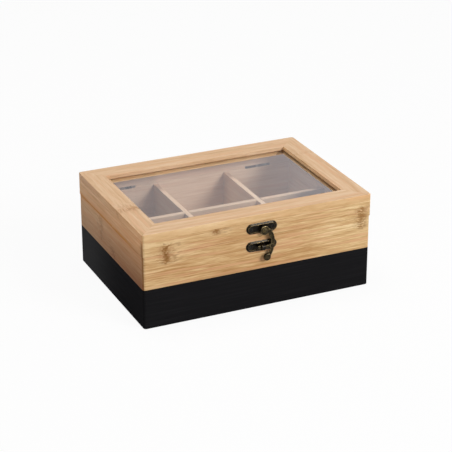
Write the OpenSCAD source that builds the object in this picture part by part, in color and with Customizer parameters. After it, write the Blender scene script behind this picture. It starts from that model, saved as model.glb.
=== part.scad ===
// Tea bag box: a bamboo box with six compartments, a hinged lid with a window, and a swing latch.
// Millimetres. X runs to the right, Y to the back, Z up. The origin is the centre of the underside.

/* [Box] */
// Width of the closed box, left to right
box_w = 210; // [170:1:260]
// Depth of the closed box, front to back
box_d = 150; // [125:1:190]
// Height of the closed box, lid included
box_h = 85; // [70:1:110]
// Thickness of the body walls and of the lid's rim
wall_t = 6; // [5.5:0.5:8]
// Thickness of the bottom panel
bottom_t = 4; // [3:0.5:6]
// Width of the rabbet that takes the bottom panel
bottom_rabbet = 3; // [2:0.5:4]
// Rounding of the upright corners
corner_r = 2.5; // [1.5:0.5:4]
// Easing of the long edges of the body and the dividers
edge_r = 0.6; // [0.3:0.1:1]
// Height of the painted band, measured from the underside
paint_h = 35.5; // [10:0.5:48]

/* [Lid] */
// Height of the lid
lid_h = 20; // [19:0.5:28]
// Thickness of the mitred frame on top of the lid
frame_t = 6; // [5.5:0.5:7]
// Width of the frame's rails and stiles
rail_w = 19; // [15:0.5:26]
// Thickness of the lip of the frame over the pane
lip_t = 3.4; // [2.5:0.1:3.5]
// Easing of the lid's outer edges
lid_edge_r = 0.6; // [0.5:0.1:1.5]
// Easing where the frame meets the rim, and round the window
joint_ease = 0.3; // [0.2:0.1:0.5]
// Overhang of the lid past the body at the front and the sides
lid_reveal = 0.5; // [0.2:0.1:1]
// Gap between the closed lid and the body
seam_gap = 0.2; // [0.2:0.1:0.5]
// Thickness of the window pane
pane_t = 2; // [1.5:0.5:2]
// Distance that the pane runs under the frame
pane_lap = 5; // [3:0.5:8]
// Gap that the glue leaves between the pane and the lip
glue_gap = 0.3; // [0.1:0.05:0.4]

/* [Dividers] */
// Thickness of the dividers
divider_t = 4.5; // [3:0.5:6]
// Distance from the body's rim down to the top of the dividers
divider_drop = 1; // [0.5:0.5:15]
// Clearance at the ends of a divider and in its half laps
divider_fit = 0.2; // [0.1:0.05:0.4]

/* [Hinges] */
// Length of a hinge
hinge_l = 24.5; // [20:0.5:32]
// Distance from the side of the box to the near end of a hinge
hinge_inset = 26.5; // [18:0.5:40]
// Distance from the back of the box in to the hinge pins
pin_inset = 1.5; // [1.3:0.1:1.8]
// Thickness of a hinge leaf
leaf_t = 1; // [0.8:0.1:1.2]
// Outer radius of the hinge knuckles
knuckle_r = 1.6; // [1.4:0.1:1.7]
// Radius of the hinge pin
pin_r = 0.7; // [0.5:0.05:0.8]
// Number of knuckles on a hinge, always odd
knuckles = 5; // [3:2:7]
// Angle at which the bevelled back edges stop the lid
stop_angle = 100; // [90:1:110]

/* [Latch] */
// Place of the latch plates' centre, to the right of the middle
latch_x = 1.5; // [-10:0.5:10]
// Length of a latch plate
plate_l = 28; // [27:0.5:34]
// Height of a latch plate
plate_h = 9.2; // [8.5:0.1:10]
// Distance from the seam to the centre line of each plate
plate_offset = 8.2; // [7:0.1:8.5]
// Thickness of a latch plate at its raised rim
plate_t = 1.3; // [1.1:0.1:1.5]
// Distance between the two screws of a plate
screw_pitch = 20; // [19:0.5:24]
// Thickness of the swing arm
arm_t = 1.4; // [1.2:0.1:1.6]
// Width of the arm where it bows out to the right
arm_w = 3.8; // [3:0.1:4.2]
// Radius of the arm's hub
hub_r = 4; // [3.6:0.1:4.4]
// Radius of the rivet that the arm turns on
rivet_r = 1.3; // [1:0.1:1.6]
// Width of the finger that passes through the keeper's bridge
finger_w = 2.4; // [2:0.1:2.8]
// Width of the keeper's bridge, left to right
bridge_w = 3.2; // [2.4:0.1:4]

/* [Hidden] */
$fn = 96;

bamboo = [0.80, 0.63, 0.43];
bamboo_pale = [0.87, 0.74, 0.57];
paint = [0.10, 0.10, 0.11];
bronze = [0.24, 0.20, 0.15];
steel = [0.45, 0.43, 0.40];
clear_glass = [0.80, 0.88, 0.90, 0.4];

past = 1;            // how far a cutter runs past the face that it opens
run_fit = 0.05;      // radial clearance of a pin in its bore
seat_fit = 0.15;     // clearance round a piece that is let into another
turn_gap = 0.3;      // gap between two pieces that turn past each other

// Heights
lid_z = box_h - lid_h;
body_h = lid_z - seam_gap;
frame_z = box_h - frame_t;

// The body stands in from the lid at the front and the sides, and is flush with it at the back
body_x = box_w / 2 - lid_reveal;
body_front = -box_d / 2 + lid_reveal;
lid_x = box_w / 2;
lid_front = -box_d / 2;
back = box_d / 2;

// The inside of the body, shared out into three columns and two rows
inner_x = body_x - wall_t;
inner_front = body_front + wall_t;
inner_back = back - wall_t;
inner_mid = (inner_front + inner_back) / 2;
divider_top = body_h - divider_drop;
divider_x = (inner_x + divider_t / 2) / 3 + divider_t / 6;

// ---- Shapes of the woodwork ----

// Upright section of a block, from a to b and h high, with its corners rounded
module eased_outline(a, b, h, r_top, r_bottom) {
    translate([a, r_bottom]) square([b - a, h - r_top - r_bottom]);
    translate([a + r_top, h / 2]) square([b - a - 2 * r_top, h / 2]);
    translate([a + r_bottom, 0]) square([b - a - 2 * r_bottom, h / 2]);
    for (x = [a + r_top, b - r_top]) translate([x, h - r_top]) circle(r_top);
    for (x = [a + r_bottom, b - r_bottom]) translate([x, r_bottom]) circle(r_bottom);
}

// Round post with the same edges, standing on z = 0
module eased_post(r, h, r_top, r_bottom) {
    rotate_extrude() intersection() {
        eased_outline(-r, r, h, r_top, r_bottom);
        square([r, h]);
    }
}

// Block with rounded upright corners and eased long edges
module eased_block(half_x, y0, y1, z0, z1, r, r_top, r_bottom) {
    h = z1 - z0;
    translate([0, 0, z0]) {
        for (x = [-half_x + r, half_x - r], y = [y0 + r, y1 - r])
            translate([x, y, 0]) eased_post(r, h, r_top, r_bottom);
        translate([-half_x + r, 0, 0]) rotate([90, 0, 90])
            linear_extrude(2 * (half_x - r)) eased_outline(y0, y1, h, r_top, r_bottom);
        translate([0, y1 - r, 0]) rotate([90, 0, 0])
            linear_extrude(y1 - y0 - 2 * r) eased_outline(-half_x, half_x, h, r_top, r_bottom);
    }
}

// One side of a mitred ring of wood, lying along X with its outer face at y = 0
module mitred_side(length, width, z0, z1, r_top, r_bottom) {
    half = length / 2;
    intersection() {
        eased_block(half, 0, 3 * width, z0, z1, corner_r, r_top, r_bottom);
        translate([0, 0, z0 - past]) linear_extrude(z1 - z0 + 2 * past)
            polygon([[-half - past, -past], [half + past, -past], [half - width, width], [width - half, width]]);
    }
}

// Places for the four sides of a ring that reaches from y0 to y1
module to_front(y0) { translate([0, y0, 0]) children(); }
module to_back(y1) { translate([0, y1, 0]) rotate([0, 0, 180]) children(); }
module to_right(half_x, y0, y1) { translate([half_x, (y0 + y1) / 2, 0]) rotate([0, 0, 90]) children(); }
module to_left(half_x, y0, y1) { translate([-half_x, (y0 + y1) / 2, 0]) rotate([0, 0, -90]) children(); }

// Paint on the lower band, bare wood above it
module painted_band() {
    span = 2 * (box_w + box_d);
    color(paint) intersection() {
        children();
        translate([-span / 2, -span / 2, paint_h - span]) cube(span);
    }
    color(bamboo) intersection() {
        children();
        translate([-span / 2, -span / 2, paint_h]) cube(span);
    }
}

// ---- Body ----

// Wall of the body along X, with the rabbet for the bottom panel
module body_side(length) {
    difference() {
        mitred_side(length, wall_t, 0, body_h, edge_r, edge_r);
        translate([-length / 2 - past, wall_t - bottom_rabbet, -past])
            cube([length + 2 * past, wall_t, bottom_t + past]);
    }
}

module front_wall() {
    painted_band() difference() {
        to_front(body_front) body_side(2 * body_x);
        at_keeper() plate_pilot_holes();
    }
}

module back_wall() {
    painted_band() difference() {
        to_back(back) body_side(2 * body_x);
        at_pin_line() back_bevel();
        for (x = hinge_places) at_pin_line(x) hinge_seat(body_screw_places);
    }
}

module right_wall() {
    painted_band() difference() {
        to_right(body_x, body_front, back) body_side(back - body_front);
        at_pin_line() back_bevel();
    }
}

module left_wall() {
    painted_band() difference() {
        to_left(body_x, body_front, back) body_side(back - body_front);
        at_pin_line() back_bevel();
    }
}

module bottom_panel() {
    reach = bottom_rabbet - seat_fit;
    color(bamboo) translate([-inner_x - reach, inner_front - reach, 0])
        cube([2 * (inner_x + reach), inner_back - inner_front + 2 * reach, bottom_t]);
}

// Divider board along X, centred, standing on the bottom panel
module divider_board(length) {
    translate([-length / 2, 0, bottom_t]) rotate([90, 0, 90]) linear_extrude(length)
        eased_outline(-divider_t / 2, divider_t / 2, divider_top - bottom_t, edge_r, edge_r);
}

// Half-lap slot in a board along X: the upper half of the board, or the lower half
module lap_slot(upper) {
    h = divider_top - bottom_t;
    w = divider_t + 2 * divider_fit;
    z = upper ? bottom_t + h / 2 - divider_fit : bottom_t - past;
    translate([-w / 2, -divider_t, z]) cube([w, 2 * divider_t, h / 2 + past]);
}

module cross_divider() {
    color(bamboo_pale) translate([0, inner_mid, 0]) difference() {
        divider_board(2 * (inner_x - divider_fit));
        for (x = [-divider_x, divider_x]) translate([x, 0, 0]) lap_slot(true);
    }
}

module long_divider(x) {
    color(bamboo_pale) translate([x, inner_mid, 0]) rotate([0, 0, 90]) difference() {
        divider_board(inner_back - inner_front - 2 * divider_fit);
        lap_slot(false);
    }
}

// ---- Lid ----

// Side of the lid's rim along X
module rim_side(length) {
    mitred_side(length, wall_t, lid_z, frame_z, joint_ease, lid_edge_r);
}

module lid_rim_front() {
    color(bamboo) difference() {
        to_front(lid_front) rim_side(2 * lid_x);
        at_latch() plate_pilot_holes();
    }
}

module lid_rim_back() {
    color(bamboo) difference() {
        to_back(back) rim_side(2 * lid_x);
        at_pin_line() mirror([0, 0, 1]) back_bevel();
        for (x = hinge_places) at_pin_line(x) mirror([0, 0, 1]) hinge_seat(lid_screw_places);
    }
}

module lid_rim_right() {
    color(bamboo) difference() {
        to_right(lid_x, lid_front, back) rim_side(back - lid_front);
        at_pin_line() mirror([0, 0, 1]) back_bevel();
    }
}

module lid_rim_left() {
    color(bamboo) difference() {
        to_left(lid_x, lid_front, back) rim_side(back - lid_front);
        at_pin_line() mirror([0, 0, 1]) back_bevel();
    }
}

// Side of the frame along X: the rabbet for the pane is cut from below, and the edge at the window
// is eased
module frame_side(length) {
    reach = length + 2 * past;
    lip_z = box_h - lip_t;
    difference() {
        mitred_side(length, rail_w, frame_z, box_h, lid_edge_r, joint_ease);
        translate([-reach / 2, rail_w - pane_lap, frame_z - past])
            cube([reach, rail_w, lip_z - frame_z + past]);
        translate([-reach / 2, rail_w - joint_ease, box_h - joint_ease])
            rotate([90, 0, 90]) linear_extrude(reach) difference() {
                square(joint_ease + past);
                circle(joint_ease);
            }
    }
}

module lid_front_rail() {
    color(bamboo_pale) to_front(lid_front) frame_side(2 * lid_x);
}

module lid_back_rail() {
    color(bamboo_pale) to_back(back) frame_side(2 * lid_x);
}

module lid_right_stile() {
    color(bamboo_pale) to_right(lid_x, lid_front, back) frame_side(back - lid_front);
}

module lid_left_stile() {
    color(bamboo_pale) to_left(lid_x, lid_front, back) frame_side(back - lid_front);
}

module window_pane() {
    reach = pane_lap - seat_fit;
    top = box_h - lip_t - glue_gap;
    ground_edge = 0.3;
    color(clear_glass)
        eased_block(lid_x - rail_w + reach, lid_front + rail_w - reach, back - rail_w + reach,
                    top - pane_t, top, corner_r, ground_edge, ground_edge);
}

// ---- Hinges, drawn about the middle of the pin, with X along the pin ----

pin_y = back - pin_inset;
pin_z = lid_z - seam_gap / 2;
hinge_places = [-box_w / 2 + hinge_inset + hinge_l / 2, box_w / 2 - hinge_inset - hinge_l / 2];
knuckle_l = (hinge_l - (knuckles - 1) * turn_gap) / knuckles;
leaf_proud = 0.4;                                // how far a leaf shows inside the box
leaf_w = wall_t - pin_inset + leaf_proud;
room_r = knuckle_r + turn_gap;
pin_head_r = 1.2;
pin_head_t = 0.5;
hinge_screw_y = -knuckle_r - 1.4;                // behind this line the knuckles begin
hinge_screw_head_r = 1.3;
hinge_screw_r = 0.7;
hinge_screw_l = 7;
body_screw_places = [knuckle_mid(0), knuckle_mid(knuckles - 1)];
lid_screw_places = [knuckle_mid(1), knuckle_mid(knuckles - 2)];

function knuckle_mid(i) = (i - (knuckles - 1) / 2) * (knuckle_l + turn_gap);

module at_pin_line(x = 0) {
    translate([x, pin_y, pin_z]) children();
}

module rod_x(r, length) {
    rotate([0, 90, 0]) cylinder(r = r, h = length, center = true);
}

// Countersunk wood screw with its head's face at z = 0, pointing down
module wood_screw(head_r, shank_r, length) {
    head_h = head_r - shank_r;
    tip_h = 2 * shank_r;
    slot_w = 0.36 * head_r;
    difference() {
        union() {
            translate([0, 0, -head_h]) cylinder(r1 = shank_r, r2 = head_r, h = head_h);
            translate([0, 0, tip_h - length]) cylinder(r = shank_r, h = length - tip_h - head_h / 2);
            translate([0, 0, -length]) cylinder(r1 = shank_r / 4, r2 = shank_r, h = tip_h);
        }
        for (a = [0, 90]) rotate([0, 0, a])
            translate([-slot_w / 2, -0.62 * head_r, -head_h / 2])
                cube([slot_w, 1.24 * head_r, head_h]);
    }
}

// Countersunk hole for the same screw, from z = 0 down
module screw_hole(head_r, shank_r, length) {
    head_h = head_r - shank_r;
    translate([0, 0, -head_h]) cylinder(r1 = shank_r + run_fit, r2 = head_r + run_fit, h = head_h);
    translate([0, 0, -length - turn_gap]) cylinder(r = shank_r + run_fit, h = length + turn_gap);
    cylinder(r = head_r + run_fit, h = past);
}

// The bevel along the back edge of the body; the lid's is its mirror image, and they meet at the stop
module back_bevel() {
    clear = 0.1;
    reach = 3 * pin_inset;
    rotate([-stop_angle / 2, 0, 0]) translate([-lid_x - past, 0, -clear])
        cube([2 * (lid_x + past), reach, reach]);
}

// The wood taken out of the body for one hinge: leaf, barrel and pilot holes
module hinge_seat(screw_places) {
    barrel_l = hinge_l + 2 * (pin_head_t + turn_gap + seat_fit);
    translate([-hinge_l / 2 - seat_fit, -wall_t, -seam_gap / 2 - leaf_t])
        cube([hinge_l + 2 * seat_fit, wall_t, leaf_t + past]);
    rod_x(room_r, barrel_l);
    for (x = screw_places) translate([x, hinge_screw_y, -seam_gap / 2])
        screw_hole(hinge_screw_head_r, hinge_screw_r, hinge_screw_l);
}

// Leaf on the body's side. first is its first knuckle: it has every second one from there
module hinge_leaf(first, screw_places) {
    difference() {
        union() {
            translate([-hinge_l / 2, -leaf_w, -seam_gap / 2 - leaf_t]) cube([hinge_l, leaf_w, leaf_t]);
            for (i = [first:2:knuckles - 1]) translate([knuckle_mid(i), 0, 0]) rod_x(knuckle_r, knuckle_l);
        }
        for (i = [1 - first:2:knuckles - 1])
            translate([knuckle_mid(i), 0, 0]) rod_x(room_r, knuckle_l + 2 * turn_gap);
        rod_x(pin_r + run_fit, hinge_l + past);
        for (x = screw_places) translate([x, hinge_screw_y, -seam_gap / 2])
            screw_hole(hinge_screw_head_r, hinge_screw_r, hinge_screw_l);
    }
}

module hinge_body_leaf(x) {
    color(bronze) at_pin_line(x) hinge_leaf(0, body_screw_places);
}

module hinge_lid_leaf(x) {
    color(bronze) at_pin_line(x) mirror([0, 0, 1]) hinge_leaf(1, lid_screw_places);
}

module hinge_pin(x) {
    color(steel) at_pin_line(x) {
        rod_x(pin_r, hinge_l + 2 * turn_gap);
        for (side = [-1, 1]) translate([side * (hinge_l / 2 + turn_gap / 2 + pin_head_t / 2), 0, 0])
            rod_x(pin_head_r, pin_head_t);
    }
}

module hinge_screws(places) {
    for (x = places) translate([x, hinge_screw_y, -seam_gap / 2])
        wood_screw(hinge_screw_head_r, hinge_screw_r, hinge_screw_l);
}

module hinge_body_screws() {
    color(steel) for (x = hinge_places) at_pin_line(x) hinge_screws(body_screw_places);
}

module hinge_lid_screws() {
    color(steel) for (x = hinge_places) at_pin_line(x) mirror([0, 0, 1]) hinge_screws(lid_screw_places);
}

// ---- Latch, drawn as seen from the front: x to the right, y up, z out of the box ----

keeper_z = pin_z - plate_offset;
latch_z = pin_z + plate_offset;
rim_w = 1.3;                                     // from a plate's edge in to the crest of its rim
dish_depth = 0.5;                                // from the crest down to the plate's dished face
boss_h = 2.4;                                    // height of the boss under the arm's hub
plate_screw_head_r = 1.9;
plate_screw_r = 1;
plate_screw_l = 6;
arm_z = boss_h + turn_gap / 3;
arm_top = arm_z + arm_t;
arm_ease = 0.4;
cast_step = 0.1;                                 // by which one part of the arm is thinner than the next
bow_past = 2;                                    // degrees that a curved bar runs on inside its neighbour

// The arm turns on a rivet that stands a little right of the plate's centre and below it
pivot_x = 1.5;
pivot_y = -1.9;

// The bridge as seen from the pivot, and the finger's path round the pivot through it
bridge_drop = 0.5;                               // below the middle of the keeper plate
bridge_x = -pivot_x;
bridge_y = -2 * plate_offset - bridge_drop - pivot_y;
catch_r = norm([bridge_x, bridge_y]);
catch_angle = atan2(bridge_y, bridge_x);
shoulder_angle = catch_angle + 31;
shoulder_r = 2.3;
shoulder = (catch_r + 1.3) * [cos(shoulder_angle), sin(shoulder_angle)];
finger_past = 2.1;                               // how far the finger shows past the bridge
tip_angle = catch_angle - asin((bridge_w / 2 + finger_past) / catch_r);

// The bow of the arm, from the hub to the shoulder
bow_r = 15.5;
bow_from = [1.6, 1.2];
bow_centre = arc_centre(bow_from, shoulder, bow_r);

// The tail under the shoulder, which curls back to the left
tail_w = 3;
tail_r = 13;
tail_sweep = 49;
tail_centre = shoulder - [tail_r, 0];
ball_r = 3.3;
ball_t = 2.2;

// Centre of the arc of radius r that runs from p to q, bulging to the right of the line from q to p
function arc_centre(p, q, r) =
    let (d = q - p, l = norm(d), h = sqrt(r * r - l * l / 4))
    (p + q) / 2 + h / l * [d[1], -d[0]];

module at_latch() {
    translate([latch_x, lid_front, latch_z]) rotate([90, 0, 0]) children();
}

module at_keeper() {
    translate([latch_x, body_front, keeper_z]) rotate([90, 0, 0]) children();
}

// Round-ended bar whose sides slope in by the given amount over its height
module stadium(l, h, inward, t) {
    for (x = [-1, 1]) translate([x * (l - h) / 2, 0, 0])
        cylinder(r1 = h / 2, r2 = h / 2 - inward, h = t);
    translate([-(l - h) / 2, 0, 0]) rotate([90, 0, 90]) linear_extrude(l - h)
        polygon([[-h / 2, 0], [h / 2, 0], [h / 2 - inward, t], [-h / 2 + inward, t]]);
}

// Low dome of radius r and height h
module dome(r, h) {
    ball = (r * r + h * h) / (2 * h);
    intersection() {
        translate([0, 0, h - ball]) sphere(ball);
        cylinder(r = r, h = h);
    }
}

module plate_pilot_holes() {
    for (x = [-1, 1]) translate([x * screw_pitch / 2, 0, plate_t - dish_depth])
        screw_hole(plate_screw_head_r, plate_screw_r, plate_screw_l);
}

// Plate with a raised rim round a dished face and two countersunk holes
module dished_plate() {
    foot_t = 0.5;
    slope = 0.5;
    dish_h = plate_h - 2 * rim_w - 0.3;
    difference() {
        union() {
            stadium(plate_l, plate_h, 0, foot_t);
            translate([0, 0, foot_t]) stadium(plate_l, plate_h, rim_w, plate_t - foot_t);
        }
        translate([0, 0, plate_t + past]) mirror([0, 0, 1])
            stadium(plate_l - plate_h + dish_h + 2 * slope, dish_h + 2 * slope, 0, past);
        translate([0, 0, plate_t]) mirror([0, 0, 1])
            stadium(plate_l - plate_h + dish_h, dish_h, slope, dish_depth);
        plate_pilot_holes();
    }
}

module latch_plate() {
    tail_r = rivet_r + 0.7;
    tail_t = 0.6;
    color(bronze) at_latch() difference() {
        union() {
            dished_plate();
            translate([pivot_x, pivot_y, 0]) cylinder(r1 = hub_r + 0.6, r2 = hub_r - 0.4, h = boss_h);
        }
        translate([pivot_x, pivot_y, -past]) cylinder(r = rivet_r + run_fit, h = boss_h + 2 * past);
        translate([pivot_x, pivot_y, -past]) cylinder(r = tail_r, h = tail_t + past);
        for (x = [-1, 1]) translate([x * screw_pitch / 2, 0, plate_t])
            cylinder(r = plate_screw_head_r + run_fit, h = boss_h);
    }
}

// Rivet with a domed head in front of the arm and a flattened tail let into the back of the plate
module latch_rivet() {
    head_r = 2.3;
    head_t = 1.3;
    color(bronze) at_latch() translate([pivot_x, pivot_y, 0]) {
        cylinder(r = rivet_r, h = arm_top + turn_gap / 3 + head_t / 4);
        cylinder(r = rivet_r + 0.6, h = 0.5);
        translate([0, 0, arm_top + turn_gap / 3]) dome(head_r, head_t);
    }
}

module plate_screws() {
    for (x = [-1, 1]) translate([x * screw_pitch / 2, 0, plate_t - dish_depth]) rotate([0, 0, 20])
        wood_screw(plate_screw_head_r, plate_screw_r, plate_screw_l);
}

module latch_screws() {
    color(bronze) at_latch() plate_screws();
}

module keeper_screws() {
    color(bronze) at_keeper() plate_screws();
}

// Bridge that stands over the finger: two legs and a round top, with its outer edges eased
module bridge() {
    inside_r = finger_w / 2 + 0.9;
    metal_t = 0.9;
    finger_top = arm_top + lid_reveal;
    rise = finger_top - 1.4;
    translate([0, -bridge_drop, 0]) {
        translate([0, 0, rise]) rotate([90, 0, 90]) rotate_extrude(angle = 180)
            bridge_section(inside_r, metal_t);
        for (side = [0, 1]) mirror([0, side, 0]) rotate([0, 0, 90]) linear_extrude(rise)
            bridge_section(inside_r, metal_t);
    }
}

// Section of the bridge across its metal, measured out from the middle of the opening
module bridge_section(inside_r, metal_t) {
    ease = 0.35;
    half = bridge_w / 2;
    translate([inside_r, -half]) square([metal_t - ease, bridge_w]);
    translate([inside_r, ease - half]) square([metal_t, bridge_w - 2 * ease]);
    for (y = [ease - half, half - ease]) translate([inside_r + metal_t - ease, y]) circle(ease);
}

module keeper_plate() {
    color(bronze) at_keeper() {
        dished_plate();
        bridge();
    }
}

// Section of the arm's metal from a to b and t thick, with its front edges broken in two bevels
module arm_section(a, b, t) {
    e = arm_ease;
    polygon([[a, 0], [b, 0], [b, t - e], [b - 0.3 * e, t - 0.3 * e], [b - e, t],
             [a + e, t], [a + 0.3 * e, t - 0.3 * e], [a, t - e]]);
}

// Curved bar of the arm: radius r about a centre, from one angle to another
module arm_arc(centre, r, w, t, from, to) {
    translate([centre[0], centre[1], arm_z]) rotate([0, 0, from]) rotate_extrude(angle = to - from)
        arm_section(r - w / 2, r + w / 2, t);
}

module arm_disc(centre, r, t) {
    translate([centre[0], centre[1], arm_z]) rotate_extrude() intersection() {
        arm_section(-r, r, t);
        square([r, t]);
    }
}

// The hub and the shoulder are cast a little thicker than the bow between them, the finger thinner
module latch_arm() {
    from = bow_from - bow_centre;
    to = shoulder - bow_centre;
    tip = catch_r * [cos(tip_angle), sin(tip_angle)];
    color(bronze) at_latch() translate([pivot_x, pivot_y, 0]) difference() {
        union() {
            arm_disc([0, 0], hub_r, arm_t);
            arm_arc(bow_centre, bow_r, arm_w, arm_t - cast_step,
                    atan2(to[1], to[0]) - bow_past, atan2(from[1], from[0]));
            arm_disc(shoulder, shoulder_r, arm_t);
            arm_arc([0, 0], catch_r, finger_w, arm_t - 2 * cast_step, tip_angle, shoulder_angle + bow_past);
            arm_disc(tip, finger_w / 2, arm_t - 2.5 * cast_step);
            arm_tail();
        }
        cylinder(r = rivet_r + run_fit, h = arm_top + past);
    }
}

// Tail that sweeps down from the shoulder and ends in a button
module arm_tail() {
    button = tail_centre + tail_r * [cos(-tail_sweep), sin(-tail_sweep)];
    arm_arc(tail_centre, tail_r, tail_w, arm_t - 1.5 * cast_step, -tail_sweep, 2 * bow_past);
    translate([button[0], button[1], arm_z + (arm_t - ball_t) / 2])
        eased_post(ball_r, ball_t, 3 * arm_ease, arm_ease);
}

front_wall();
back_wall();
left_wall();
right_wall();
bottom_panel();
cross_divider();
long_divider(-divider_x);  // left_divider
long_divider(divider_x);  // right_divider
hinge_body_leaf(hinge_places[0]);  // left_hinge_body_leaf
hinge_body_leaf(hinge_places[1]);  // right_hinge_body_leaf
hinge_pin(hinge_places[0]);  // left_hinge_pin
hinge_pin(hinge_places[1]);  // right_hinge_pin
hinge_body_screws();
keeper_plate();
keeper_screws();
lid_rim_front();
lid_rim_back();
lid_rim_left();
lid_rim_right();
lid_front_rail();
lid_back_rail();
lid_left_stile();
lid_right_stile();
window_pane();
hinge_lid_leaf(hinge_places[0]);  // left_hinge_lid_leaf
hinge_lid_leaf(hinge_places[1]);  // right_hinge_lid_leaf
hinge_lid_screws();
latch_plate();
latch_screws();
latch_rivet();
latch_arm();
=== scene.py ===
"""Looks, light and camera of a bamboo tea bag box with a glazed lid and a swing latch.

Lengths and places are in metres and angles in degrees, unless a line says otherwise.
"""

from __future__ import annotations

import logging
import math
from dataclasses import dataclass, replace
from enum import Enum
from typing import Any, Generic, Mapping, Optional, Sequence, TypeVar, Union

import bmesh
import bpy
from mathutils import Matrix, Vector


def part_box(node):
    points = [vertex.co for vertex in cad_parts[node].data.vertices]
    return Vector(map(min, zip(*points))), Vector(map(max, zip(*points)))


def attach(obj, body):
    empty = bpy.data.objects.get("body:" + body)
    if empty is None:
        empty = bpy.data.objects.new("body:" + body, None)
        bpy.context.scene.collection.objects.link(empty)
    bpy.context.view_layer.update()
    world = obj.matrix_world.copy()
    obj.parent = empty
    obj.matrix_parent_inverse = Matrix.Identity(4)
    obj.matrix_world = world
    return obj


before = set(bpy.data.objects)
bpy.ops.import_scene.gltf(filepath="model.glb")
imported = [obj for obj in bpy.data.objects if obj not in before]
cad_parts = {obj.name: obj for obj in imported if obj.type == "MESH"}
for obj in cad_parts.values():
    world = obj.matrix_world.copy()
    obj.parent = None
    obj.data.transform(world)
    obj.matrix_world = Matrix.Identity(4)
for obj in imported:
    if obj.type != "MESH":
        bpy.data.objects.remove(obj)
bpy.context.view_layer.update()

log = logging.getLogger("tea_bag_box")

Material = bpy.types.Material
Socket = bpy.types.NodeSocket
Colour = tuple[float, float, float]
Point = tuple[float, float, float]
Span = tuple[float, float]
Fade = tuple[float, float, float]
Number = Union[float, "Value"]
Place = Sequence["Value"]
Owner = TypeVar("Owner", Material, bpy.types.World)

WHITE: Colour = (1.0, 1.0, 1.0)

# How far a face has turned against an axis where it begins to count, and where it counts in full
TURNED: Span = (-0.40, -0.80)

# How many rays look for an edge nearby, and the angle in degrees above which an edge stays sharp
EDGE_SAMPLES = 6
SHARP_ANGLE = 32.0


# ---------------- shader building


@dataclass(frozen=True)
class Value:
    """A number socket that can stand in a Python expression.

    Attributes:
        tree: The node tree that the socket belongs to.
        socket: The output socket that carries the number.
    """

    tree: Tree
    socket: Socket

    def math(self, operation: str, *others: Number) -> Value:
        """Add a Math node with this value first.

        Args:
            operation: The Math node's operation.
            others: The second and third inputs, where the operation has them.

        Returns:
            The result.
        """
        inputs = dict(enumerate((self, *others)))
        node = self.tree.node("ShaderNodeMath", {"operation": operation}, inputs)
        return self.tree.number(node)

    def __add__(self, other: Number) -> Value:
        """Return the sum."""
        return self.math("ADD", other)

    __radd__ = __add__

    def __mul__(self, other: Number) -> Value:
        """Return the product."""
        return self.math("MULTIPLY", other)

    __rmul__ = __mul__

    def __sub__(self, other: Number) -> Value:
        """Return this value less another."""
        return self.math("SUBTRACT", other)

    def __rsub__(self, other: Number) -> Value:
        """Return another value less this one."""
        return self * -1.0 + other

    def __truediv__(self, other: Number) -> Value:
        """Return this value over another."""
        return self.math("DIVIDE", other)

    def __rtruediv__(self, other: float) -> Value:
        """Return a number over this value."""
        return self.math("POWER", -1.0) * other

    def __abs__(self) -> Value:
        """Return the size of the value."""
        return self.math("ABSOLUTE")

    def floor(self) -> Value:
        """Return the whole number below."""
        return self.math("FLOOR")

    def fraction(self) -> Value:
        """Return what is left above the whole number below."""
        return self.math("FRACT")

    def at_most(self, other: Number) -> Value:
        """Return the smaller of the two."""
        return self.math("MINIMUM", other)

    def at_least(self, other: Number) -> Value:
        """Return the larger of the two."""
        return self.math("MAXIMUM", other)

    def rise(self, low: float, high: float) -> Value:
        """Return a smooth step from 0 at low to 1 at high, which may lie below low."""
        node = self.tree.node(
            "ShaderNodeMapRange",
            {"interpolation_type": "SMOOTHSTEP"},
            {"Value": self, "From Min": low, "From Max": high, "To Min": 0.0, "To Max": 1.0},
        )
        return self.tree.number(node, "Result")

    def onto(self, least: float, added: float) -> Value:
        """Return a least value with a share of this one added."""
        return self * added + least

    def fade(self, low: float, high: float, share: float) -> Value:
        """Return a smooth step up to a share."""
        return self.rise(low, high) * share

    def bump(self, centre: float, width: float) -> Value:
        """Return a soft hump that is 1 at the centre and fades to nothing.

        Args:
            centre: Where the hump stands.
            width: How far out it has fallen to a quarter.

        Returns:
            A value from 0 to 1.
        """
        away = (self - centre) * (1.0 / width)
        falling = 1.0 / (away * away + 1.0)
        return falling * falling


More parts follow.
